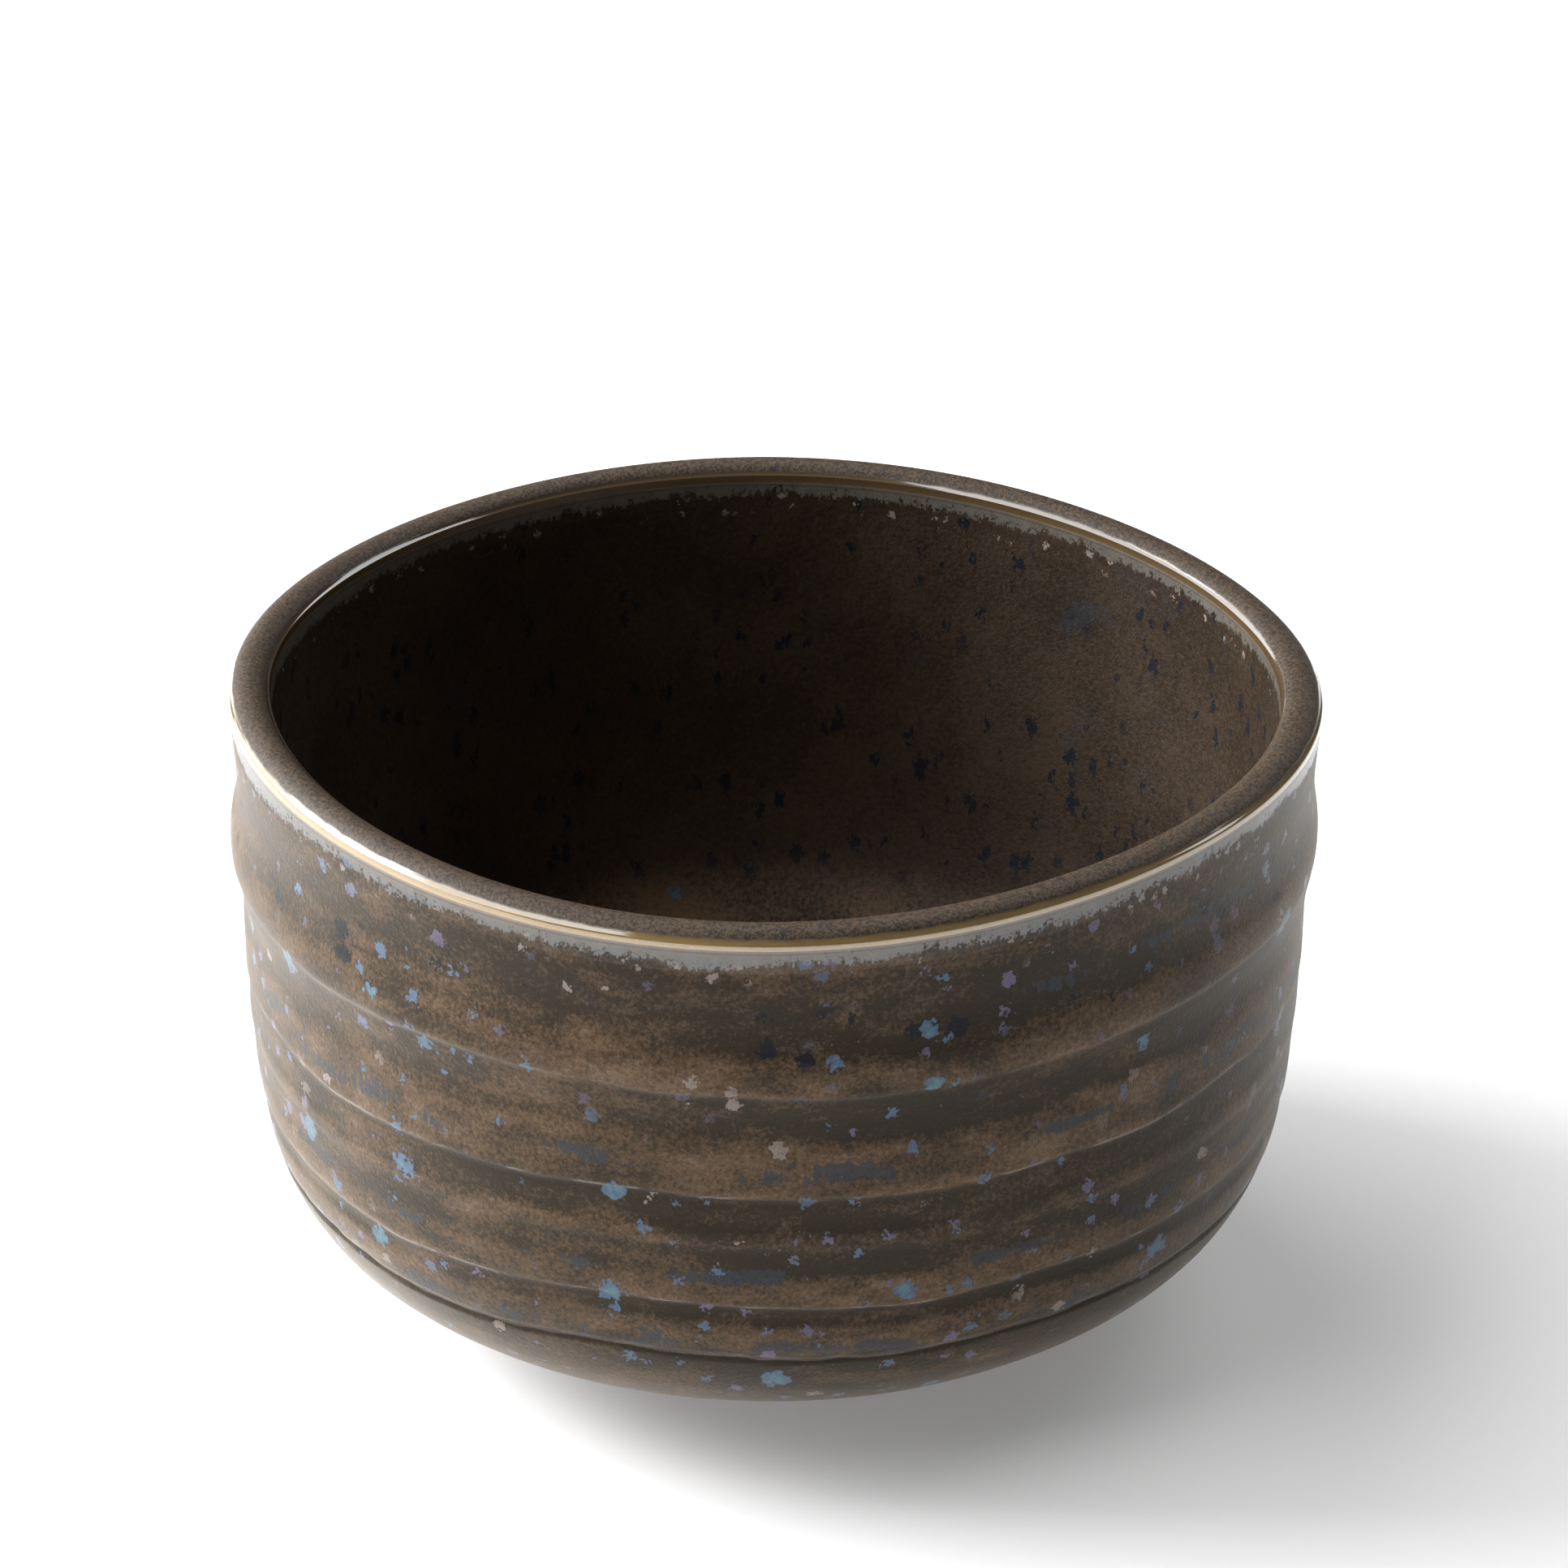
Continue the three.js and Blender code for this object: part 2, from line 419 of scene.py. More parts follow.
def turning_tree(material):
    """The Geometry Nodes tree that turns a section into one piece of the bowl."""
    tree = bpy.data.node_groups.new("Turned Coat", "GeometryNodeTree")
    face = tree.interface
    face.new_socket("Geometry", in_out="INPUT", socket_type="NodeSocketGeometry")
    wanted = (
        ("Steps", "NodeSocketInt"),
        ("Closed", "NodeSocketInt"),
        ("Ridges", "NodeSocketFloat"),
        ("Groove", "NodeSocketFloat"),
        ("Swell", "NodeSocketFloat"),
        ("Rim Height", "NodeSocketFloat"),
        ("Rim Radius", "NodeSocketFloat"),
        ("Axis", "NodeSocketVector"),
        ("Seed", "NodeSocketFloat"),
    )
    for name, kind in wanted:
        face.new_socket(name, in_out="INPUT", socket_type=kind)
    face.new_socket("Geometry", in_out="OUTPUT", socket_type="NodeSocketGeometry")

    write = NodeWriter(tree)
    given = write.add("NodeGroupInput").outputs
    section = given["Geometry"]

    # A flat grid with one row of points for each point of the section
    size = write.add("GeometryNodeAttributeDomainSize", {0: section}, component="MESH")
    count = size.outputs["Point Count"]
    rows = write.math("ADD", count, given["Closed"])
    grid_inputs = {"Size X": 1.0, "Size Y": 1.0, "Vertices X": rows}
    grid_inputs["Vertices Y"] = write.math("ADD", given["Steps"], 1)
    grid = write.add("GeometryNodeMeshGrid", grid_inputs).outputs["Mesh"]

    flat = write.add("ShaderNodeSeparateXYZ", {0: write.add("GeometryNodeInputPosition").outputs[0]})
    along = write.math("ADD", flat.outputs[0], 0.5)
    around = write.math("MULTIPLY", write.math("ADD", flat.outputs[1], 0.5), 2 * pi)
    steps_along = write.math("SUBTRACT", rows, 1)
    index = write.math("ROUND", write.math("MULTIPLY", along, steps_along))
    index = write.math("MODULO", index, count)

    def sampled(kind, value):
        inputs = {"Geometry": section, "Value": value, "Index": index}
        return write.add("GeometryNodeSampleIndex", inputs, data_type=kind).outputs[0]

    def named(kind, name):
        node = write.add("GeometryNodeInputNamedAttribute", {"Name": name}, data_type=kind)
        return node.outputs["Attribute"]

    place = sampled("FLOAT_VECTOR", write.add("GeometryNodeInputPosition").outputs[0])
    outward = sampled("FLOAT_VECTOR", named("FLOAT_VECTOR", "outward"))
    on_face = sampled("FLOAT", named("FLOAT", "on_face"))
    inside = sampled("FLOAT", named("FLOAT", "inside"))
    radius = write.add("ShaderNodeSeparateXYZ", {0: place}).outputs[0]
    height = write.add("ShaderNodeSeparateXYZ", {0: place}).outputs[2]
    cosine = write.math("COSINE", around)
    sine = write.math("SINE", around)

    # The marks wander up and down a little as they go round
    seat_inputs = {0: cosine, 1: sine, 2: write.math("MULTIPLY", height, 12)}
    seat = write.add("ShaderNodeCombineXYZ", seat_inputs).outputs[0]
    seed = given["Seed"]
    wander = write.total(
        write.swing(seat, 1.1, 2.6 * MM, 1.0, 0.4, seed),
        write.swing(seat, 4.5, 0.7 * MM, 2.0, 0.5, seed),
    )
    mark_height = write.math("ADD", height, wander)

    span = MARKS_SPAN * MM
    level = write.math("DIVIDE", mark_height, span)
    shape = [(mark * MM / span, 0.5 + 0.5 * relief) for mark, relief, _ in THROWING_MARKS]
    relief = write.curve(level, [(0.0, 0.5), *shape, (1.0, 0.5)])
    relief = write.math("MULTIPLY", write.math("SUBTRACT", relief, 0.5), 2)
    press = write.step(write.noise(seat, 1.7, 2.0, 0.5, seed).outputs["Fac"], 0.30, 0.62)
    ridge = write.math("MULTIPLY", write.math("MULTIPLY", relief, press), given["Ridges"])
    cut = write.near(mark_height, GROOVE * MM, 0.16 * MM, 0.30 * MM)
    cut = write.math("MULTIPLY", cut, given["Groove"])
    swell = write.math("MULTIPLY", write.swing(seat, 2.4, 1.0, 2.0, 0.5, seed), given["Swell"])
    lift = write.math("SUBTRACT", write.total(ridge, swell), cut)
    lift = write.math("MULTIPLY", lift, on_face)
    lift = write.math("MULTIPLY", lift, write.step(height, JOINT * MM, (JOINT - JOINT_FADE) * MM))

    direction = write.add("ShaderNodeSeparateXYZ", {0: outward})
    radius = write.math("MULTIPLY_ADD", lift, direction.outputs[0], radius)
    radius = write.math("MAXIMUM", radius, 0)
    lifted = write.math("MULTIPLY_ADD", lift, direction.outputs[2], height)

    # The unevenness of handwork: the wall leaves the round and the rim tips and waves
    rise_level = write.math("MAXIMUM", write.math("DIVIDE", lifted, given["Rim Height"]), 0)
    spread = waves(write, around, ROUNDNESS_WAVES)
    spread = write.math("MULTIPLY", spread, write.math("POWER", rise_level, ROUNDNESS_FADE))
    reach = write.math("MINIMUM", write.math("DIVIDE", radius, given["Rim Radius"]), 1)
    rise = write.math("MULTIPLY", waves(write, around, RIM_WAVES), reach)
    rise = write.math("MULTIPLY", rise, write.math("POWER", rise_level, RIM_FADE))
    radius = write.math("MULTIPLY", radius, write.math("ADD", spread, 1))
    lifted = write.math("ADD", lifted, rise)

    xyz = {0: write.math("MULTIPLY", radius, cosine), 1: write.math("MULTIPLY", radius, sine)}
    xyz[2] = lifted
    turned = write.add("ShaderNodeCombineXYZ", xyz).outputs[0]
    turned = write.vector_math("ADD", turned, given["Axis"])

    # What the glazes need to know, in millimetres
    drop = write.math("SUBTRACT", given["Rim Height"], height)
    kept = (
        ("mark_height", write.math("DIVIDE", mark_height, MM)),
        ("below_lip", write.math("DIVIDE", drop, MM)),
        ("inside", inside),
        ("pressed", press),
    )
    mesh = grid
    for name, value in kept:
        inputs = {"Geometry": mesh, "Name": name, "Value": value}
        stored = write.add("GeometryNodeStoreNamedAttribute", inputs, data_type="FLOAT")
        mesh = stored.outputs[0]

    mesh = write.add("GeometryNodeSetPosition", {"Geometry": mesh, "Position": turned}).outputs[0]
    merged = write.add("GeometryNodeMergeByDistance", {"Geometry": mesh, "Distance": 0.001 * MM})
    smooth = write.add("GeometryNodeSetShadeSmooth", {"Geometry": merged.outputs[0]}, domain="FACE")
    angle = write.add("GeometryNodeInputMeshEdgeAngle").outputs["Unsigned Angle"]
    corner = write.add("FunctionNodeCompare", {0: angle, 1: radians(50)}, operation="GREATER_THAN")
    sharp_inputs = {"Geometry": smooth.outputs[0], "Selection": corner.outputs[0]}
    sharp_inputs["Shade Smooth"] = False
    sharp = write.add("GeometryNodeSetShadeSmooth", sharp_inputs, domain="EDGE")
    real = write.add("GeometryNodeRealizeInstances", {"Geometry": sharp.outputs[0]})
    painted = write.add(
        "GeometryNodeSetMaterial", {"Geometry": real.outputs[0], "Material": material}
    )
    write.add("NodeGroupOutput", {0: painted.outputs[0]})
    return tree


def waves(write, around, entries):
    """The height of several waves together, in one direction."""
    terms = []
    for count, size, crest in entries:
        angle = write.math("MULTIPLY", write.math("SUBTRACT", around, crest), count)
        terms.append(write.math("MULTIPLY", write.math("COSINE", angle), size))
    return write.total(*terms)


def section_object(name, section, inside, closed):
    """The section as a wire of points that carry what the turning tree needs.

    All three attributes are made before any is filled, as adding one can move the others.
    """
    count = len(section)
    edges = [(i, i + 1) for i in range(count - 1)]
    if closed:
        edges.append((count - 1, 0))
    mesh = bpy.data.meshes.new(name + "_section")
    mesh.from_pydata([(point.x, 0.0, point.y) for point, _, _ in section], edges, [])
    mesh.attributes.new("outward", "FLOAT_VECTOR", "POINT")
    mesh.attributes.new("on_face", "FLOAT", "POINT")
    mesh.attributes.new("inside", "FLOAT", "POINT")
    out = mesh.attributes["outward"]
    face = mesh.attributes["on_face"]
    side = mesh.attributes["inside"]
    for i, (point, outward, on_face) in enumerate(section):
        out.data[i].vector = (outward.x, 0.0, outward.y)
        face.data[i].value = on_face
        side.data[i].value = inside(point)
    obj = bpy.data.objects.new(name, mesh)
    bpy.context.scene.collection.objects.link(obj)
    return obj


def turn(name, section, material, node, slot, inside, closed=True, **amounts):
    """Turn a section into a finished piece that stands for one node of the frame."""
    sizes = bpy.context.scene.bowl_sizes
    obj = section_object(name, section, inside, closed)
    tree = turning_tree(material)
    modifier = obj.modifiers.new("Turning", "NODES")
    modifier.node_group = tree
    axis = (FOOT_LOW + FOOT_HIGH) / 2
    values = {
        "Steps": sizes.steps,
        "Closed": int(closed),
        "Ridges": amounts.get("ridges", 0.0),
        "Groove": amounts.get("groove", 0.0),
        "Swell": amounts.get("swell", 0.0),
        "Rim Height": sizes.rim_height,
        "Rim Radius": sizes.rim_radius,
        "Axis": (axis.x, axis.y, 0.0),
        "Seed": float(sizes.seed),
    }
    for item in tree.interface.items_tree:
        if item.in_out == "INPUT" and item.name in values:
            modifier[item.identifier] = values[item.name]

    depsgraph = bpy.context.evaluated_depsgraph_get()
    mesh = bpy.data.meshes.new_from_object(obj.evaluated_get(depsgraph))
    obj.modifiers.remove(modifier)
    wire = obj.data
    obj.data = mesh
    bpy.data.meshes.remove(wire)
    mesh.name = name
    if signed_volume(mesh) < 0:
        mesh.flip_normals()
    if not mesh.polygons:
        raise RuntimeError(name + " came out empty")
    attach(obj, "root")
    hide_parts(node)
    return obj


def signed_volume(mesh):
    """The volume inside a closed mesh, negative where its faces point inwards."""
    total = 0.0
    points = mesh.vertices
    for face in mesh.polygons:
        first = points[face.vertices[0]].co
        for one, two in zip(face.vertices[1:], face.vertices[2:]):
            total += first.dot(points[one].co.cross(points[two].co))
    return total / 6


# ---------------------------------------------------------------- glazes


def shade(paint, share=1.0):
    """A glaze colour as a shader takes it, made darker or lighter by a share."""
    return (*[value * share for value in paint], 1)


def new_material(name):
    """A material with an empty tree, and its writer and shader."""
    material = bpy.data.materials.new(name)
    material.use_nodes = True
    material.node_tree.nodes.clear()
    write = NodeWriter(material.node_tree)
    shader = write.add("ShaderNodeBsdfPrincipled")
    write.add("ShaderNodeOutputMaterial", {"Surface": shader.outputs[0]})
    return material, write, shader


def places(write):
    """Object coordinates in millimetres: plain, drawn out sideways and drawn out downwards."""
    raw = write.add("ShaderNodeTexCoord").outputs["Object"]
    plain = write.vector_math("MULTIPLY", raw, (1000, 1000, 1000))
    wide = write.vector_math("MULTIPLY", plain, (1.0, 1.0, 2.6))
    tall = write.vector_math("MULTIPLY", plain, (1.0, 1.0, 0.28))
    return plain, wide, tall


def attribute(write, name):
    return write.add("ShaderNodeAttribute", attribute_name=name).outputs["Fac"]


def crystals(write, place, cell, radius, share, ragged, seed):
    """Scattered crystals with ragged edges: where they are, their hearts and a hue for each."""
    shove = write.noise(place, 0.75 / ragged, 1.6, 0.5, seed).outputs["Color"]
    shove = write.vector_math("SUBTRACT", shove, (0.5, 0.5, 0.5))
    shove = write.vector_math("MULTIPLY", shove, (5.6 * ragged, 5.6 * ragged, 5.6 * ragged))
    moved = write.vector_math("ADD", place, shove)
    moved = write.vector_math("ADD", moved, (seed * 17.0, seed * 9.0, seed * 5.0))
    cells = write.add("ShaderNodeTexVoronoi", {"Vector": moved, "Scale": 1.0 / cell})
    chance = write.add("ShaderNodeSeparateColor", {0: cells.outputs["Color"]})
    away = write.math("MULTIPLY", cells.outputs["Distance"], cell)
    size = write.math("MULTIPLY_ADD", chance.outputs[1], 0.65 * radius, 0.40 * radius)
    ratio = write.math("DIVIDE", away, size)
    picked = write.math("LESS_THAN", chance.outputs[0], share)
    body = write.math("MULTIPLY", write.step(ratio, 1.06, 0.90), picked)
    heart = write.math("MULTIPLY", write.step(ratio, 0.70, 0.45), picked)
    return body, heart, chance.outputs[2]


def wall_glaze(write, colours, place, wide, tall):
    """Colour, roughness and height of the bronze glaze that breaks over the ridges."""
    mark = attribute(write, "mark_height")
    tones = [(height / MARKS_SPAN, tone) for height, _, tone in THROWING_MARKS]
    level = write.math("DIVIDE", mark, MARKS_SPAN)
    tone = write.curve(level, [(0.0, 0.45), *tones, (1.0, 0.3)])

    # One flank, towards -X, is more evenly coppery: partly the glaze's own tone and partly painted
    # sheen where the softboxes light that flank
    across = write.add("ShaderNodeSeparateXYZ", {0: place}).outputs[0]
    flank_tone_and_painted_sheen = write.math("MULTIPLY", write.step(across, 14.0, -44.0), 0.45)
    tone = write.blend(flank_tone_and_painted_sheen, tone, 0.66)

    tone = write.math("MULTIPLY_ADD", tone, 0.86, 0.06)
    grain = write.swing(place, 1.9, 1.25, 4.0, 0.74)
    patch = write.swing(wide, 0.042, 0.80, 2.0, 0.5, 2.0)
    smudge = write.swing(wide, 0.17, 0.85, 4.0, 0.62, 5.0)
    breaking = write.total(tone, grain, patch, smudge)
    copper = write.step(breaking, 0.14, 0.90)
    dry = write.step(breaking, 0.74, 1.30)
    paint = write.mix(copper, shade(colours.olive), shade(colours.copper))
    paint = write.mix(write.math("MULTIPLY", dry, 0.75), paint, shade(colours.tan))

    # Feathery slate clouds along the crests
    feather = write.swing(tall, 1.3, 1.15, 3.0, 0.65, 7.0)
    cloud = write.swing(wide, 0.11, 1.7, 2.0, 0.5, 9.0)
    upper = write.math("MULTIPLY", write.near(mark, 63.0, 0.4, 1.4), write.step(across, 4.0, 34.0))
    belts = write.math("MAXIMUM", write.near(mark, 44.6, 0.7, 1.9), upper)
    belts = write.math("MAXIMUM", belts, write.near(mark, 21.6, 0.6, 1.8))
    belts = write.math("MAXIMUM", belts, write.near(mark, 31.0, 0.3, 1.5))
    slate = write.step(write.total(belts, cloud, feather), 0.98, 1.26)
    paint = write.mix(write.math("MULTIPLY", slate, 0.78), paint, shade(colours.slate))

    # A pale broken line on each ledge, with the shade of its undercut below
    broken = write.step(write.noise(wide, 0.16, 3.0, 0.6, 3.0).outputs["Fac"], 0.50, 0.56)
    jitter = write.total(mark, write.swing(place, 1.2, 0.22, 2.0))
    for ledge in LEDGES:
        line = write.math("MULTIPLY", write.near(jitter, ledge, 0.10, 0.14), broken)
        paint = write.mix(write.math("MULTIPLY", line, 0.75), paint, shade(colours.ash))
        under = write.near(mark, ledge - 0.55, 0.15, 0.5)
        paint = write.mix(write.math("MULTIPLY", under, 0.5), paint, shade(colours.olive))

    # The cut groove: a pale line, partly pale glaze filling it and partly a painted highlight along
    # its edge, dark on both shoulders
    shoulders = write.near(mark, GROOVE, 0.42, 0.35)
    paint = write.mix(write.math("MULTIPLY", shoulders, 0.8), paint, shade(colours.olive))
    groove_glaze_and_highlight = write.near(mark, GROOVE, 0.14, 0.14)
    paint = write.mix(write.math("MULTIPLY", groove_glaze_and_highlight, 0.55), paint, shade(colours.ash))

    return paint, copper, breaking, mark


def scatter_crystals(write, colours, paint, place, mark):
    """Blue, violet, turquoise and ash crystals laid over a glaze."""
    small = crystals(write, place, 3.1, 0.92, 0.58, 0.40, 1.0)
    large = crystals(write, place, 8.0, 1.75, 0.62, 0.55, 4.0)
    pale = crystals(write, place, 4.2, 0.90, 0.50, 0.40, 7.0)
    dark = crystals(write, place, 4.0, 1.30, 0.80, 0.50, 11.0)
    veil = write.step(write.noise(place, 0.06, 1.0, 0.5, 13.0).outputs["Fac"], 0.30, 0.52)

    belt = write.near(mark, 61.5, 2.4, 1.6)
    soot = write.math("MULTIPLY", dark[0], belt)
    paint = write.mix(soot, paint, shade(colours.soot))
    drift = write.step(write.noise(place, 0.045, 1.0, 0.5, 21.0).outputs["Fac"], 0.48, 0.60)
    paint = write.mix(write.math("MULTIPLY", pale[0], drift), paint, shade(colours.ash))

    hue = write.step(small[2], 0.35, 0.65)
    tint = write.mix(hue, shade(colours.violet), shade(colours.blue))
    paint = write.mix(write.math("MULTIPLY", small[0], veil), paint, tint)
    tint = write.mix(large[1], shade(colours.blue), shade(colours.turquoise))
    paint = write.mix(large[0], paint, tint)
    shown = write.math("MAXIMUM", small[0], write.math("MAXIMUM", large[0], pale[0]))
    return paint, shown


def inner_glaze_colour(write, colours, place):
    """Colour of the inside: umber with iron specks and slate clouds, and a painted pool of light on
    the floor.
    """
    grain = write.swing(place, 1.9, 0.75, 4.0, 0.7, 3.0)
    patch = write.swing(place, 0.07, 0.6, 3.0, 0.55, 6.0)
    light = write.step(write.total(grain, patch), -0.32, 0.40)
    deep = shade(colours.umber, 0.45)
    paint = write.mix(light, deep, shade(colours.umber))
    cloud = write.swing(place, 0.11, 1.0, 3.0, 0.55, 8.0)
    mist = write.step(write.total(cloud, write.swing(place, 1.2, 0.3, 3.0)), 0.16, 0.50)
    haze = shade(colours.slate, 0.75)
    paint = write.mix(write.math("MULTIPLY", mist, 0.6), paint, haze)
    region = write.step(write.noise(place, 0.07, 1.0, 0.5, 15.0).outputs["Fac"], 0.40, 0.50)
    drawn = write.vector_math("MULTIPLY", place, (1.0, 1.0, 0.6))
    specks = crystals(write, drawn, 2.6, 0.86, 1.0, 0.40, 5.0)
    paint = write.mix(write.math("MULTIPLY", specks[0], region), paint, shade(colours.soot))
    # A painted pool of light: the inner floor turns a bright copper over its light grains
    depth = attribute(write, "below_lip")
    low = write.step(depth, 47.0, 55.0)
    pool = shade(colours.copper, 2.1)
    paint = write.mix(write.math("MULTIPLY", low, light), paint, pool)
    blue = crystals(write, place, 5.0, 1.3, 0.5, 0.45, 9.0)
    tint = write.mix(blue[1], shade(colours.blue), shade(colours.turquoise))
    return write.mix(write.math("MULTIPLY", blue[0], low), paint, tint), light


def wide_of(write, place):
    """A place drawn out along the lip."""
    return write.vector_math("MULTIPLY", place, (0.45, 0.45, 2.0))


def rim_bands(write, colours, paint, place, tall):
    """Lay the lip's glaze over a colour: grainy top, amber line, and a ragged grey-blue halo."""
    drop = attribute(write, "below_lip")
    inside = attribute(write, "inside")
    tooth = write.swing(tall, 1.3, 1.7, 4.0, 0.72, 4.0)
    nick = write.swing(place, 3.4, 0.9, 2.0, 0.6, 9.0)
    sag = write.swing(place, 0.10, 1.3, 2.0, 0.5, 8.0)
    ragged = write.total(drop, tooth, nick, sag)
    ragged = write.math("MULTIPLY_ADD", inside, 0.2, ragged)
    halo = write.step(ragged, 3.75, 3.45)
    edge = write.step(ragged, 2.5, 3.3)
    holes = write.noise(place, 1.7, 3.0, 0.65, 12.0).outputs["Fac"]
    pierced = write.math("MULTIPLY", edge, write.step(holes, 0.54, 0.60))
    halo = write.math("MULTIPLY", halo, write.math("SUBTRACT", 1.0, pierced))
    blue = (*[value * share for value, share in zip(colours.halo, (0.86, 0.95, 1.02))], 1)
    grey = (*[value * share for value, share in zip(colours.halo, (1.10, 1.00, 0.90))], 1)
    bluish = write.math("MULTIPLY", write.step(drop, 2.2, 3.6), write.blend(inside, 1.0, 0.25))
    cast = write.mix(bluish, grey, blue)
    cast = darken(write, cast, write.noise(place, 0.7, 4.0, 0.65).outputs["Fac"], 0.55, 1.45)
    paint = write.mix(write.math("MULTIPLY", halo, 0.84), paint, cast)

    # A sprinkle of pale grains where the halo has let go
    grains = crystals(write, place, 1.8, 0.52, 0.80, 0.28, 16.0)
    below = write.near(write.math("ADD", drop, sag), 4.5, 0.6, 1.0)
    paint = write.mix(write.math("MULTIPLY", grains[0], below), paint, shade(colours.ash))

    rough_drop = write.total(drop, write.swing(place, 0.35, 0.16, 2.0))
    amber = write.math("MULTIPLY", write.step(rough_drop, 0.68, 0.86), write.step(drop, 1.95, 1.80))
    thin = write.step(drop, 0.9, 1.75)
    deep_amber = shade(colours.amber, 0.62)
    clear_amber = shade(colours.amber, 1.35)
    gold = write.mix(thin, deep_amber, clear_amber)
    flow = write.noise(wide_of(write, place), 0.35, 3.0, 0.6).outputs["Fac"]
    gold = darken(write, gold, flow, 0.7, 1.3)
    muted = shade(colours.copper, 0.55)
    gold = write.mix(write.math("MULTIPLY", inside, 0.8), gold, muted)
    paint = write.mix(amber, paint, gold)
    pale_line = write.near(drop, 2.0, 0.05, 0.09)
    pale_line = write.math("MULTIPLY", pale_line, write.blend(inside, 0.6, 0.1))
    paint = write.mix(pale_line, paint, shade(colours.ash))
    dark = write.near(drop, 2.22, 0.05, 0.10)
    paint = write.mix(write.math("MULTIPLY", dark, 0.35), paint, shade(colours.olive))

    top = write.step(rough_drop, 0.86, 0.62)
    speck = write.noise(place, 2.9, 3.0, 0.7, 2.0).outputs["Fac"]
    brown = shade(colours.copper, 0.72)
    dim = shade(colours.olive, 0.6)
    crown = write.mix(write.step(speck, 0.40, 0.60), dim, brown)
    paint = write.mix(top, paint, crown)
    pits = crystals(write, place, 3.6, 0.55, 0.40, 0.30, 14.0)
    paint = write.mix(write.math("MULTIPLY", pits[0], top), paint, shade(colours.soot))
    return paint, halo, amber, top


def finish(write, shader, paint, roughness, height, depth):
    """Join colour, roughness and a bump of some depth in metres to the shader."""
    bump = write.add("ShaderNodeBump", {"Height": height, "Distance": depth, "Strength": 0.8})
    write.feed(shader.inputs["Base Color"], paint)
    write.feed(shader.inputs["Roughness"], roughness)
    write.feed(shader.inputs["Normal"], bump.outputs[0])


def outer_glaze_material(colours):
    material, write, shader = new_material("outer_glaze")
    place, wide, tall = places(write)
    paint, copper, breaking, mark = wall_glaze(write, colours, place, wide, tall)
    paint, shown = scatter_crystals(write, colours, paint, place, mark)
    paint, halo, _, _ = rim_bands(write, colours, paint, place, tall)
    dust = write.noise(place, 4.4, 2.0, 0.6, 1.0).outputs["Fac"]
    paint = darken(write, paint, dust, 0.52, 1.48)
    roughness = write.blend(copper, 0.42, 0.50)
    roughness = write.blend(write.math("MULTIPLY", shown, 0.6), roughness, 0.26)
    roughness = write.blend(halo, roughness, 0.30)
    height = write.total(write.math("MULTIPLY", breaking, 0.5), write.math("MULTIPLY", dust, 0.6))
    height = write.total(height, write.math("MULTIPLY", halo, 0.5))
    shader.inputs["Specular IOR Level"].default_value = 0.13
    shader.inputs["Sheen Weight"].default_value = 0.36
    shader.inputs["Sheen Roughness"].default_value = 0.38
    shader.inputs["Sheen Tint"].default_value = (1.0, 0.95, 0.86, 1)
    finish(write, shader, paint, roughness, height, 0.075 * MM)
    return material


def rim_glaze_material(colours):
    material, write, shader = new_material("rim_glaze")
    place, wide, tall = places(write)
    outside, _, _, mark = wall_glaze(write, colours, place, wide, tall)
    outside, _ = scatter_crystals(write, colours, outside, place, mark)
    within, _ = inner_glaze_colour(write, colours, place)
    paint = write.mix(attribute(write, "inside"), outside, within)
    paint, halo, amber, top = rim_bands(write, colours, paint, place, tall)
    dust = write.noise(place, 5.5, 2.0, 0.6, 1.0).outputs["Fac"]
    paint = darken(write, paint, dust, 0.80, 1.18)
    roughness = write.blend(halo, 0.40, 0.30)
    roughness = write.blend(amber, roughness, 0.16)
    roughness = write.blend(top, roughness, 0.56)
    gloss = write.math("MAXIMUM", amber, write.math("MULTIPLY", halo, 0.35))
    gloss = write.math("MULTIPLY", gloss, write.math("SUBTRACT", 1.0, top))
    write.feed(shader.inputs["Coat Weight"], gloss)
    shader.inputs["Coat IOR"].default_value = 2.1
    shader.inputs["Coat Roughness"].default_value = 0.07
    shader.inputs["Specular IOR Level"].default_value = 0.30
    height = write.math("MULTIPLY", dust, write.math("SUBTRACT", 1.0, amber))
    tooth = write.noise(place, 2.2, 3.0, 0.65, 19.0).outputs["Fac"]
    height = write.total(height, write.math("MULTIPLY", tooth, write.math("MULTIPLY", top, 1.6)))
    height = write.total(height, write.math("MULTIPLY", halo, 0.5))
    finish(write, shader, paint, roughness, height, 0.045 * MM)
    return material


def inner_glaze_material(colours):
    material, write, shader = new_material("inner_glaze")
    place, _, tall = places(write)
    paint, light = inner_glaze_colour(write, colours, place)
    paint, halo, _, _ = rim_bands(write, colours, paint, place, tall)
    dust = write.noise(place, 5.0, 2.0, 0.6, 1.0).outputs["Fac"]
    paint = darken(write, paint, dust, 0.55, 1.45)
    roughness = write.blend(light, 0.44, 0.54)
    height = write.total(light, dust, write.math("MULTIPLY", halo, 0.6))
    shader.inputs["Specular IOR Level"].default_value = 0.20
    finish(write, shader, paint, roughness, height, 0.06 * MM)
    return material


def well_glaze_material(colours):
    material, write, shader = new_material("foot_well_glaze")
    place, _, _ = places(write)
    grain = write.swing(place, 1.3, 0.5, 4.0, 0.6, 2.0)
    pool = write.swing(place, 0.08, 0.7, 2.0, 0.5, 5.0)
    thick = write.step(write.total(grain, pool), -0.5, 0.6)
    paint = write.mix(thick, shade(colours.olive), shade(colours.copper))
    blue = crystals(write, place, 6.0, 1.1, 0.4, 0.45, 3.0)
    paint = write.mix(blue[0], paint, shade(colours.blue))
    finish(write, shader, paint, write.blend(thick, 0.30, 0.45), thick, 0.05 * MM)
    return material


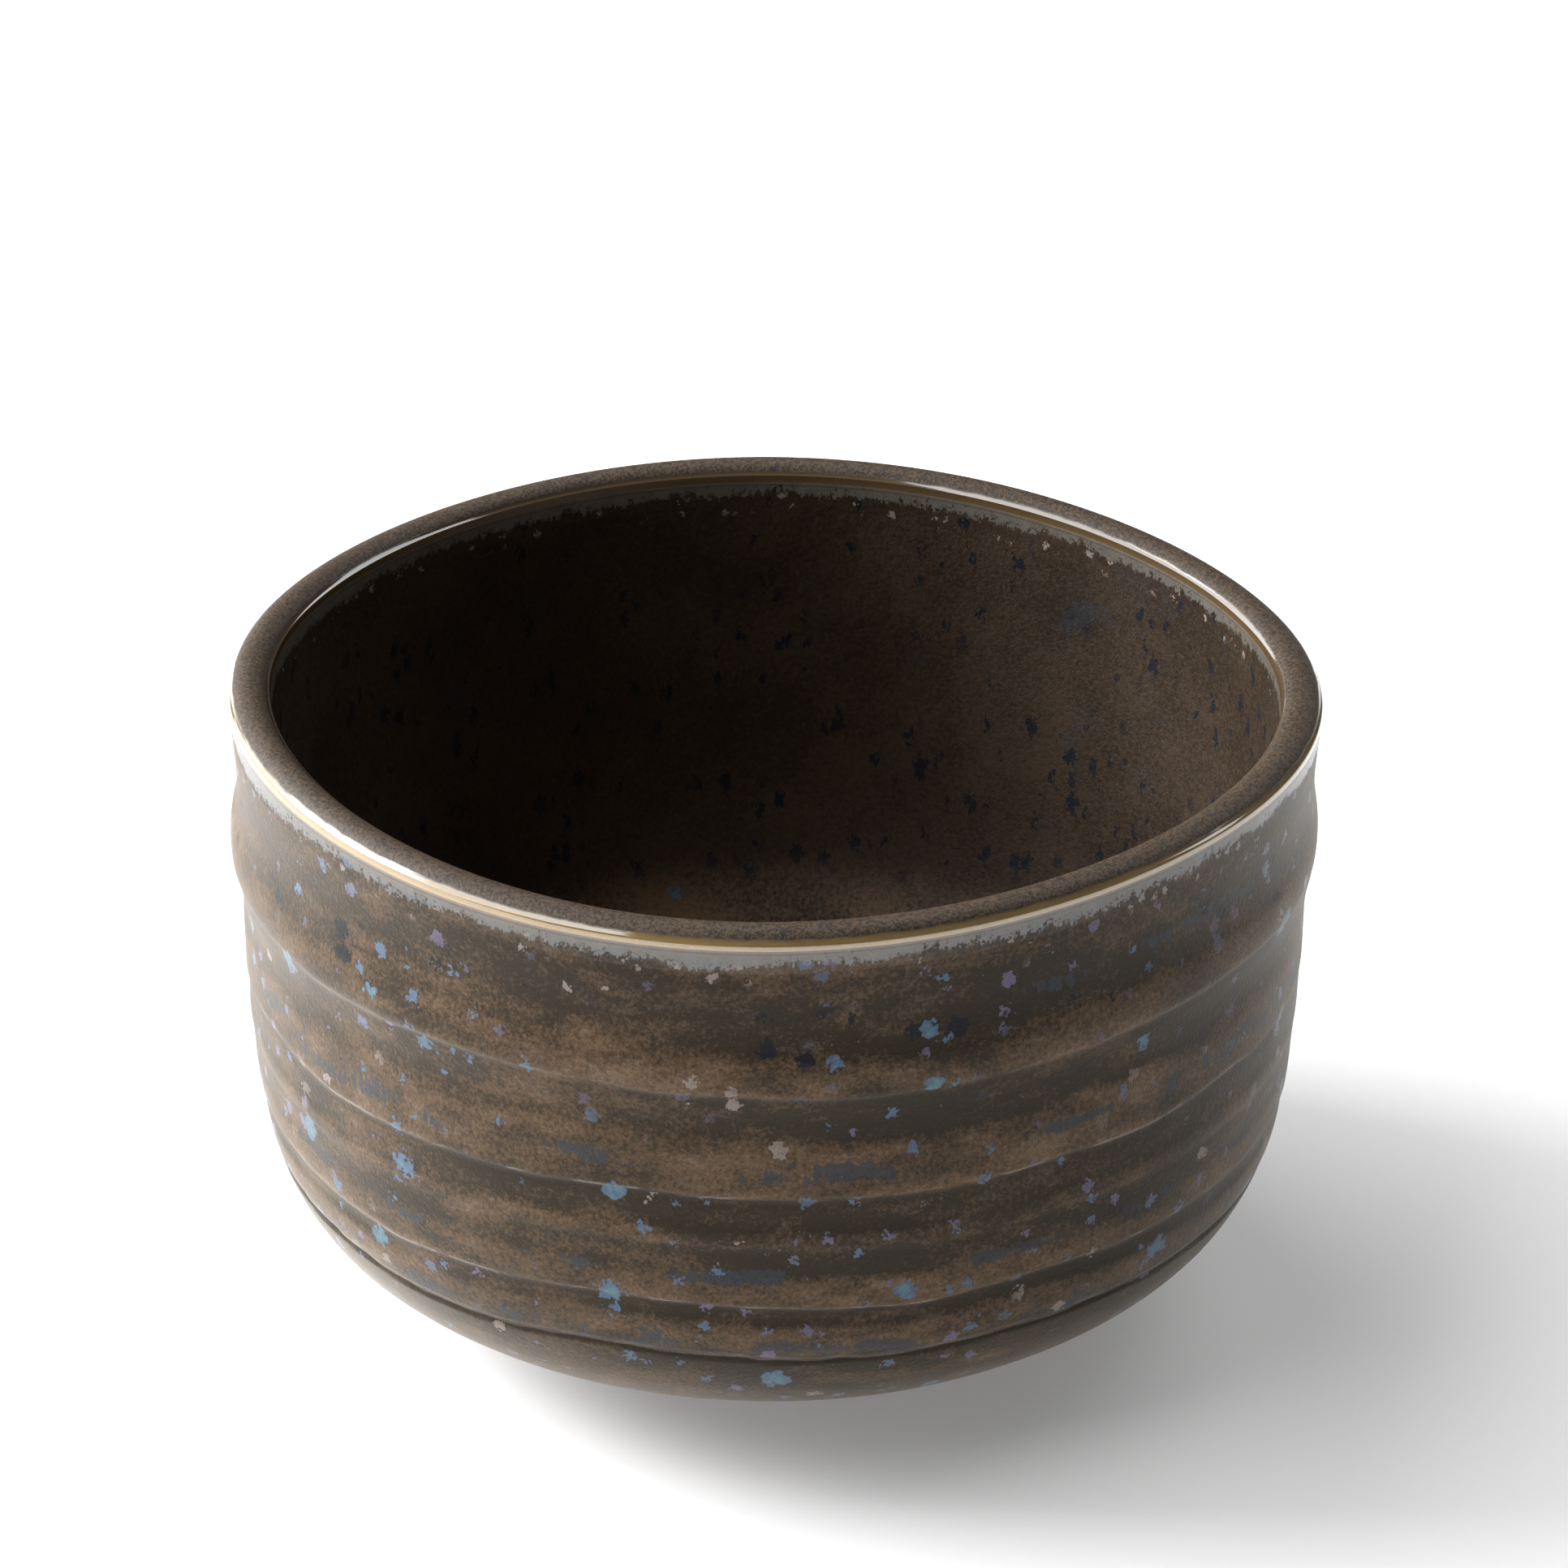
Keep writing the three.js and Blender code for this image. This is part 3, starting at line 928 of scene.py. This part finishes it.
def bare_clay_material(colours, name):
    """Iron-bearing stoneware, turned and left unglazed."""
    material, write, shader = new_material(name)
    place, wide, _ = places(write)
    grit = write.noise(place, 3.2, 4.0, 0.7, 1.0).outputs["Fac"]
    flush = write.noise(wide, 0.12, 3.0, 0.55, 2.0).outputs["Fac"]
    tooling = write.noise(write.vector_math("MULTIPLY", place, (0.12, 0.12, 5.0)), 1.0, 2.0, 0.5)
    dark = shade(colours.clay, 0.45)
    paint = write.mix(write.step(flush, 0.3, 0.7), dark, shade(colours.clay))
    paint = darken(write, paint, grit, 0.6, 1.3)
    sand = crystals(write, place, 1.6, 0.28, 0.5, 0.2, 6.0)
    paint = write.mix(write.math("MULTIPLY", sand[0], 0.6), paint, shade(colours.tan))
    height = write.total(grit, write.math("MULTIPLY", tooling.outputs["Fac"], 0.8))
    finish(write, shader, paint, write.blend(grit, 0.74, 0.92), height, 0.12 * MM)
    return material


def darken(write, paint, amount, low, high):
    """Multiply a colour by a grey that follows an amount."""
    grey = write.blend(amount, low, high)
    grey = write.add("ShaderNodeCombineXYZ", {0: grey, 1: grey, 2: grey}).outputs[0]
    return write.vector_math("MULTIPLY", paint, grey)


def floor_material(glow):
    """Matt white acrylic with the faintest tooth, lit a little from below."""
    material, write, shader = new_material("studio_floor")
    place = write.add("ShaderNodeTexCoord").outputs["Object"]
    tooth = write.noise(place, 900.0, 2.0).outputs["Fac"]
    paint = write.mix(tooth, (0.70, 0.70, 0.705, 1), (0.72, 0.72, 0.72, 1))
    finish(write, shader, paint, write.blend(tooth, 0.9, 1.0), tooth, 0.00001)
    shader.inputs["Specular IOR Level"].default_value = 0.1
    shader.inputs["Emission Color"].default_value = (1.0, 1.0, 1.0, 1)
    shader.inputs["Emission Strength"].default_value = glow
    return material


# ---------------------------------------------------------------- operators


def three_parts(sizes):
    return split_at_rim_coat(finished_line(sizes), sizes)


class MakeClay(bpy.types.Operator):
    """Give the clay body its fired stoneware finish"""

    bl_idname = "matcha_bowl.clay"
    bl_label = "Clay Body"

    def execute(self, context):
        material = bare_clay_material(context.scene.bowl_colours, "bare_clay")
        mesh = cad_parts["clay_body"].data
        mesh.materials.clear()
        mesh.materials.append(material)
        return {"FINISHED"}


class MakeFootRing(bpy.types.Operator):
    """Turn the foot ring, with a bevelled tread and a hollow where it meets the wall"""

    bl_idname = "matcha_bowl.foot_ring"
    bl_label = "Foot Ring"

    def execute(self, context):
        sizes = context.scene.bowl_sizes
        outer = sizes.foot_radius
        inner = outer - sizes.foot_width
        bevel = sizes.foot_bevel
        top = CLAY_LOW.z + 0.1 * MM
        shoulder = OUTER_WALL[0][0] * MM + 0.2 * MM
        outline = [(inner + bevel, 0.0), (outer - bevel, 0.0), (outer, bevel)]
        for step in range(7):
            turn_by = pi / 2 * step / 6
            reach = shoulder - outer
            outline.append((outer + reach * (1 - cos(turn_by)), top - reach * (1 - sin(turn_by))))
        outline += [(shoulder, top), (inner, top), (inner, bevel), (inner + bevel, 0.0)]
        section = plain_section(outline, 0.35 * MM)[:-1]
        material = bare_clay_material(context.scene.bowl_colours, "foot_clay")
        turn("foot_ring_turned", section, material, "foot_ring", "foot_clay", lambda point: 0.0)
        return {"FINISHED"}


class MakeFootWell(bpy.types.Operator):
    """Glaze the roof of the foot well, with the glaze creeping a little down the ring"""

    bl_idname = "matcha_bowl.foot_well"
    bl_label = "Foot Well Glaze"

    def execute(self, context):
        sizes = context.scene.bowl_sizes
        edge = sizes.foot_radius - sizes.foot_width
        low, high = WELL_LOW.z, WELL_HIGH.z
        outline = [(0.0, low), (edge - 1.6 * MM, low), (edge - 0.7 * MM, low - 0.15 * MM)]
        outline += [(edge - 0.15 * MM, low - 0.6 * MM), (edge + 0.05 * MM, low - 1.0 * MM)]
        outline += [(edge + 0.1 * MM, high), (0.0, high)]
        material = well_glaze_material(context.scene.bowl_colours)
        turn(
            "foot_well_coat",
            plain_section(outline, 0.8 * MM),
            material,
            "foot_well_glaze",
            "foot_well_glaze",
            lambda point: 0.0,
            closed=False,
        )
        return {"FINISHED"}


class MakeOuterGlaze(bpy.types.Operator):
    """Coat the outside with bronze glaze, over the throwing marks and the cut groove"""

    bl_idname = "matcha_bowl.outer_glaze"
    bl_label = "Outer Glaze"

    def execute(self, context):
        sizes = context.scene.bowl_sizes
        outside, _, _ = three_parts(sizes)
        section = coat_section(outside, 0.42 * MM, sizes.glaze, bead=True)
        turn(
            "outer_glaze_coat",
            section,
            outer_glaze_material(context.scene.bowl_colours),
            "outer_glaze",
            "outer_glaze",
            lambda point: 0.0,
            ridges=sizes.ridges,
            groove=sizes.groove,
            swell=sizes.swell,
        )
        return {"FINISHED"}


class MakeRimGlaze(bpy.types.Operator):
    """Pour the second glaze over the lip"""

    bl_idname = "matcha_bowl.rim_glaze"
    bl_label = "Rim Glaze"

    def execute(self, context):
        sizes = context.scene.bowl_sizes
        _, over, _ = three_parts(sizes)
        middle = sizes.rim_radius - sizes.lip_thickness / 2
        section = coat_section(over, 0.16 * MM, sizes.glaze)
        turn(
            "rim_glaze_coat",
            section,
            rim_glaze_material(context.scene.bowl_colours),
            "rim_glaze",
            "rim_glaze",
            lambda point: float(point.x < middle),
        )
        return {"FINISHED"}


class MakeInnerGlaze(bpy.types.Operator):
    """Coat the inside with umber glaze, down the wall and over the floor"""

    bl_idname = "matcha_bowl.inner_glaze"
    bl_label = "Inner Glaze"

    def execute(self, context):
        sizes = context.scene.bowl_sizes
        _, _, within = three_parts(sizes)
        turn(
            "inner_glaze_coat",
            coat_section(within, 0.55 * MM, sizes.glaze),
            inner_glaze_material(context.scene.bowl_colours),
            "inner_glaze",
            "inner_glaze",
            lambda point: 1.0,
            closed=False,
        )
        return {"FINISHED"}


class MakeStudio(bpy.types.Operator):
    """Set up the pale floor, the softboxes and the camera"""

    bl_idname = "matcha_bowl.studio"
    bl_label = "Studio"

    def execute(self, context):
        studio = context.scene.bowl_studio
        half = studio.floor / 2
        mesh = bpy.data.meshes.new("studio_floor")
        # Just under the tread, so that the two do not share a plane
        low = -0.02 * MM
        corners = [(-half, -half, low), (half, -half, low), (half, half, low), (-half, half, low)]
        mesh.from_pydata(corners, [], [(0, 1, 2, 3)])
        mesh.materials.append(floor_material(studio.glow))
        floor = bpy.data.objects.new("studio_floor", mesh)
        context.scene.collection.objects.link(floor)

        wide = softbox("wide_softbox", studio.softbox, studio.power)
        place_and_aim(context, wide, (-1.50, 0.38, 1.42), (0.0, 0.0, 0.04))
        small = softbox("key_softbox", studio.softbox * 0.26, studio.key)
        place_and_aim(context, small, (-1.72, 0.34, 1.02), (0.0, 0.0, 0.04))

        rear = softbox("rear_softbox", studio.softbox * 0.4, studio.rear)
        place_and_aim(context, rear, (1.10, 1.00, 1.50), (0.0, 0.0, 0.04))

        world = bpy.data.worlds.new("studio")
        world.use_nodes = True
        sky = world.node_tree.nodes["Background"]
        sky.inputs["Color"].default_value = (1.0, 1.0, 1.0, 1)
        sky.inputs["Strength"].default_value = studio.fill
        context.scene.world = world
        context.scene.view_settings.view_transform = "Standard"

        camera_data = bpy.data.cameras.new("camera")
        camera_data.lens = studio.lens
        camera_data.sensor_width = 36.0
        camera = bpy.data.objects.new("camera", camera_data)
        camera.location = (0.00087, -0.60089, 0.35923)
        camera.rotation_euler = (radians(63.522), 0.0, 0.0)
        context.scene.collection.objects.link(camera)
        context.scene.camera = camera
        return {"FINISHED"}


def softbox(name, width, power):
    """A rectangular light, three quarters as high as it is wide."""
    lamp = bpy.data.lights.new(name, "AREA")
    lamp.shape = "RECTANGLE"
    lamp.size = width
    lamp.size_y = width * 0.75
    lamp.energy = power
    return lamp


def place_and_aim(context, lamp, place, target):
    """Stand a light at a place and turn it to face a target."""
    obj = bpy.data.objects.new(lamp.name, lamp)
    obj.location = place
    towards = Vector(target) - Vector(place)
    obj.rotation_euler = towards.to_track_quat("-Z", "Y").to_euler()
    context.scene.collection.objects.link(obj)
    return obj


class BowlPanel(bpy.types.Panel):
    bl_idname = "VIEW3D_PT_matcha_bowl"
    bl_label = "Matcha Bowl"
    bl_space_type = "VIEW_3D"
    bl_region_type = "UI"
    bl_category = "Matcha Bowl"

    def draw(self, context):
        for operator in OPERATORS:
            self.layout.operator(operator.bl_idname)
        for group in ("bowl_sizes", "bowl_colours", "bowl_studio"):
            settings = getattr(context.scene, group)
            box = self.layout.box()
            for name in settings.__annotations__:
                box.prop(settings, name)


SETTINGS = {
    "bowl_sizes": BowlSizes,
    "bowl_colours": GlazeColours,
    "bowl_studio": StudioSettings,
}
OPERATORS = (
    MakeClay,
    MakeFootRing,
    MakeFootWell,
    MakeOuterGlaze,
    MakeRimGlaze,
    MakeInnerGlaze,
    MakeStudio,
)


def register():
    for cls in (*SETTINGS.values(), *OPERATORS, BowlPanel):
        bpy.utils.register_class(cls)
    for name, cls in SETTINGS.items():
        setattr(bpy.types.Scene, name, PointerProperty(type=cls))


def unregister():
    for name in SETTINGS:
        delattr(bpy.types.Scene, name)
    for cls in (BowlPanel, *reversed(OPERATORS), *SETTINGS.values()):
        bpy.utils.unregister_class(cls)


def main():
    register()
    bpy.ops.matcha_bowl.clay()
    bpy.ops.matcha_bowl.foot_ring()
    bpy.ops.matcha_bowl.foot_well()
    bpy.ops.matcha_bowl.outer_glaze()
    bpy.ops.matcha_bowl.rim_glaze()
    bpy.ops.matcha_bowl.inner_glaze()
    bpy.ops.matcha_bowl.studio()


if __name__ == "__main__":
    main()
